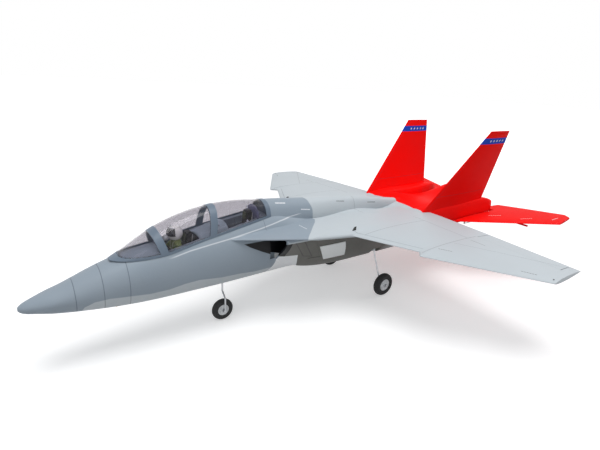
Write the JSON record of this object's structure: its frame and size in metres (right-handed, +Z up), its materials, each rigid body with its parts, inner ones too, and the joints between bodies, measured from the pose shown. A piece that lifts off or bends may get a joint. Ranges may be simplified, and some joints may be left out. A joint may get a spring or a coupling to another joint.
{
  "type": "radio-controlled jet aeroplane",
  "caption": "Twin-fin foam jet trainer with ducted fan, clear canopy, swept wings, all-moving stabilators and fixed wire tricycle undercarriage.",
  "frame": {"origin": "on the ground under the middle of the aeroplane's overall box", "axes": "+Y aft along the fuselage, +X to the port wing, +Z up"},
  "size_m": [0.74, 1.0511, 0.321],
  "materials": {
    "painted_foam_grey": "satin sprayed paint over moulded foam",
    "painted_foam_light": "satin sprayed paint over moulded foam",
    "painted_foam_red": "satin red paint over moulded foam",
    "canopy_frame_paint": "satin paint",
    "canopy_glass": "clear, formed thin",
    "cockpit_moulding": "matte dark grey",
    "seat_moulding": "matte black",
    "pilot_suit": "matte olive paint",
    "pilot_helmet": "gloss white with a dark visor",
    "nozzle_plastic": "dark grey plastic",
    "fan_plastic": "black fibre-filled nylon",
    "motor_metal": "turned, anodised",
    "tube_film": "thin translucent sheet",
    "battery_wrap": "heat-shrink wrap",
    "plywood": "bare birch plywood",
    "electronics_case": "black moulding",
    "nylon_white": "white nylon",
    "rod_composite": "carbon tube and black horn",
    "spring_wire": "bright spring steel wire",
    "steel_screw": "zinc plated",
    "tyre_foam_rubber": "matte foam rubber",
    "wheel_plastic": "white moulding",
    "gear_door_paint": "satin paint"
  },
  "bodies": {
    "airframe": {"nose_cone": "painted_foam_grey", "forward_fuselage": "painted_foam_grey", "centre_fuselage": "painted_foam_light", "rear_fuselage": "painted_foam_red", "fan_housing": "fan_plastic", "motor_case": "motor_metal", "exhaust_tube": "tube_film", "nozzle_ring": "nozzle_plastic", "battery": "battery_wrap", "battery_tray": "plywood", "speed_controller": "electronics_case", "receiver": "electronics_case", "wing_left": "painted_foam_light", "wing_right": "painted_foam_light", "fin_left": "painted_foam_red", "fin_right": "painted_foam_red", "servo_cases": "electronics_case", "pivot_bushes": "nylon_white", "wing_spar": "rod_composite", "nose_gear_block": "plywood", "main_gear_blocks": "plywood", "main_gear_legs": "spring_wire", "gear_doors": "gear_door_paint", "screws": "steel_screw"},
    "canopy_hatch": {"canopy_frame": "canopy_frame_paint", "canopy_glass": "canopy_glass", "cockpit_tub": "cockpit_moulding", "ejection_seats": "seat_moulding", "instrument_hoods": "cockpit_moulding", "pilot_torso": "pilot_suit", "pilot_helmet": "pilot_helmet"},
    "aileron_body_left": {"aileron_left": "painted_foam_light", "aileron_horn_left": "nylon_white"},
    "aileron_body_right": {"aileron_right": "painted_foam_light", "aileron_horn_right": "nylon_white"},
    "stabilator_body_left": {"stabilator_left": "painted_foam_red", "pivot_rod_left": "rod_composite"},
    "stabilator_body_right": {"stabilator_right": "painted_foam_red", "pivot_rod_right": "rod_composite"},
    "aileron_arm_left": {"aileron_servo_arm_left": "nylon_white"},
    "aileron_arm_right": {"aileron_servo_arm_right": "nylon_white"},
    "stabilator_arm_left": {"stabilator_servo_arm_left": "nylon_white"},
    "stabilator_arm_right": {"stabilator_servo_arm_right": "nylon_white"},
    "steering_servo_lever": {"steering_servo_arm": "nylon_white"},
    "aileron_rod_left": {"aileron_pushrod_left": "spring_wire"},
    "aileron_rod_right": {"aileron_pushrod_right": "spring_wire"},
    "stabilator_rod_left": {"stabilator_pushrod_left": "spring_wire"},
    "stabilator_rod_right": {"stabilator_pushrod_right": "spring_wire"},
    "steering_rod": {"steering_pushrod": "spring_wire"},
    "nose_strut": {"nose_gear_leg": "spring_wire", "steering_arm": "nylon_white"},
    "nose_wheel": {"nose_tyre": "tyre_foam_rubber", "nose_wheel_hub": "wheel_plastic"},
    "main_wheel_left": {"main_tyre_left": "tyre_foam_rubber", "main_wheel_hub_left": "wheel_plastic"},
    "main_wheel_right": {"main_tyre_right": "tyre_foam_rubber", "main_wheel_hub_right": "wheel_plastic"},
    "fan": {"fan_rotor": "fan_plastic"}
  },
  "joints": [
    {"name": "canopy_hinge", "type": "hinge", "parent": "airframe", "child": "canopy_hatch", "pos_m": [0, -0.415, 0.1496], "axis": [1, 0, 0], "range_deg": [0, 35]},
    {"name": "aileron_hinge_left", "type": "hinge", "parent": "airframe", "child": "aileron_body_left", "pos_m": [0.226, 0.141, 0.15399], "axis": [0.9995, 0, -0.0305], "range_deg": [-25, 25]},
    {"name": "aileron_servo_left", "type": "hinge", "parent": "airframe", "child": "aileron_arm_left", "pos_m": [0.226, 0.071, 0.15399], "axis": [0.9995, 0, -0.0305], "range_deg": [-25, 25]},
    {"name": "aileron_clevis_left", "type": "hinge", "parent": "aileron_arm_left", "child": "aileron_rod_left", "pos_m": [0.22563, 0.071, 0.14199], "axis": [0.9995, 0, -0.0305], "range_deg": [-25, 25]},
    {"name": "stabilator_pivot_left", "type": "hinge", "parent": "airframe", "child": "stabilator_body_left", "pos_m": [0.08, 0.378, 0.131], "axis": [1, 0, 0], "range_deg": [-18, 18]},
    {"name": "stabilator_servo_left", "type": "hinge", "parent": "airframe", "child": "stabilator_arm_left", "pos_m": [0.08, 0.318, 0.131], "axis": [1, 0, 0], "range_deg": [-18, 18]},
    {"name": "stabilator_clevis_left", "type": "hinge", "parent": "stabilator_arm_left", "child": "stabilator_rod_left", "pos_m": [0.08, 0.318, 0.113], "axis": [1, 0, 0], "range_deg": [-18, 18]},
    {"name": "main_axle_left", "type": "hinge", "parent": "airframe", "child": "main_wheel_left", "pos_m": [0.081, 0.068, 0.023], "axis": [1, 0, 0], "continuous": true},
    {"name": "aileron_hinge_right", "type": "hinge", "parent": "airframe", "child": "aileron_body_right", "pos_m": [-0.226, 0.141, 0.15399], "axis": [-0.9995, 0, -0.0305], "range_deg": [-25, 25]},
    {"name": "aileron_servo_right", "type": "hinge", "parent": "airframe", "child": "aileron_arm_right", "pos_m": [-0.226, 0.071, 0.15399], "axis": [-0.9995, 0, -0.0305], "range_deg": [-25, 25]},
    {"name": "aileron_clevis_right", "type": "hinge", "parent": "aileron_arm_right", "child": "aileron_rod_right", "pos_m": [-0.22563, 0.071, 0.14199], "axis": [-0.9995, 0, -0.0305], "range_deg": [-25, 25]},
    {"name": "stabilator_pivot_right", "type": "hinge", "parent": "airframe", "child": "stabilator_body_right", "pos_m": [-0.08, 0.378, 0.131], "axis": [-1, 0, 0], "range_deg": [-18, 18]},
    {"name": "stabilator_servo_right", "type": "hinge", "parent": "airframe", "child": "stabilator_arm_right", "pos_m": [-0.08, 0.318, 0.131], "axis": [-1, 0, 0], "range_deg": [-18, 18]},
    {"name": "stabilator_clevis_right", "type": "hinge", "parent": "stabilator_arm_right", "child": "stabilator_rod_right", "pos_m": [-0.08, 0.318, 0.113], "axis": [-1, 0, 0], "range_deg": [-18, 18]},
    {"name": "main_axle_right", "type": "hinge", "parent": "airframe", "child": "main_wheel_right", "pos_m": [-0.081, 0.068, 0.023], "axis": [1, 0, 0], "continuous": true},
    {"name": "nose_steering", "type": "hinge", "parent": "airframe", "child": "nose_strut", "pos_m": [0, -0.243, 0.104], "axis": [0, 0, 1], "range_deg": [-25, 25]},
    {"name": "steering_servo", "type": "hinge", "parent": "airframe", "child": "steering_servo_lever", "pos_m": [0, -0.197, 0.104], "axis": [0, 0, 1], "range_deg": [-25, 25]},
    {"name": "steering_clevis", "type": "hinge", "parent": "steering_servo_lever", "child": "steering_rod", "pos_m": [0.012, -0.197, 0.104], "axis": [0, 0, 1], "range_deg": [-25, 25]},
    {"name": "nose_axle", "type": "hinge", "parent": "nose_strut", "child": "nose_wheel", "pos_m": [0, -0.243, 0.019], "axis": [1, 0, 0], "continuous": true},
    {"name": "fan_shaft", "type": "hinge", "parent": "airframe", "child": "fan", "pos_m": [0, 0.085, 0.12], "axis": [0, 1, 0], "continuous": true}
  ],
  "couplings": [
    {"joint": "aileron_servo_left", "follows": "aileron_hinge_left", "ratio": 1},
    {"joint": "aileron_clevis_left", "follows": "aileron_hinge_left", "ratio": -1},
    {"joint": "stabilator_servo_left", "follows": "stabilator_pivot_left", "ratio": 1},
    {"joint": "stabilator_clevis_left", "follows": "stabilator_pivot_left", "ratio": -1},
    {"joint": "aileron_servo_right", "follows": "aileron_hinge_right", "ratio": 1},
    {"joint": "aileron_clevis_right", "follows": "aileron_hinge_right", "ratio": -1},
    {"joint": "stabilator_servo_right", "follows": "stabilator_pivot_right", "ratio": 1},
    {"joint": "stabilator_clevis_right", "follows": "stabilator_pivot_right", "ratio": -1},
    {"joint": "steering_servo", "follows": "nose_steering", "ratio": 1},
    {"joint": "steering_clevis", "follows": "nose_steering", "ratio": -1}
  ]
}
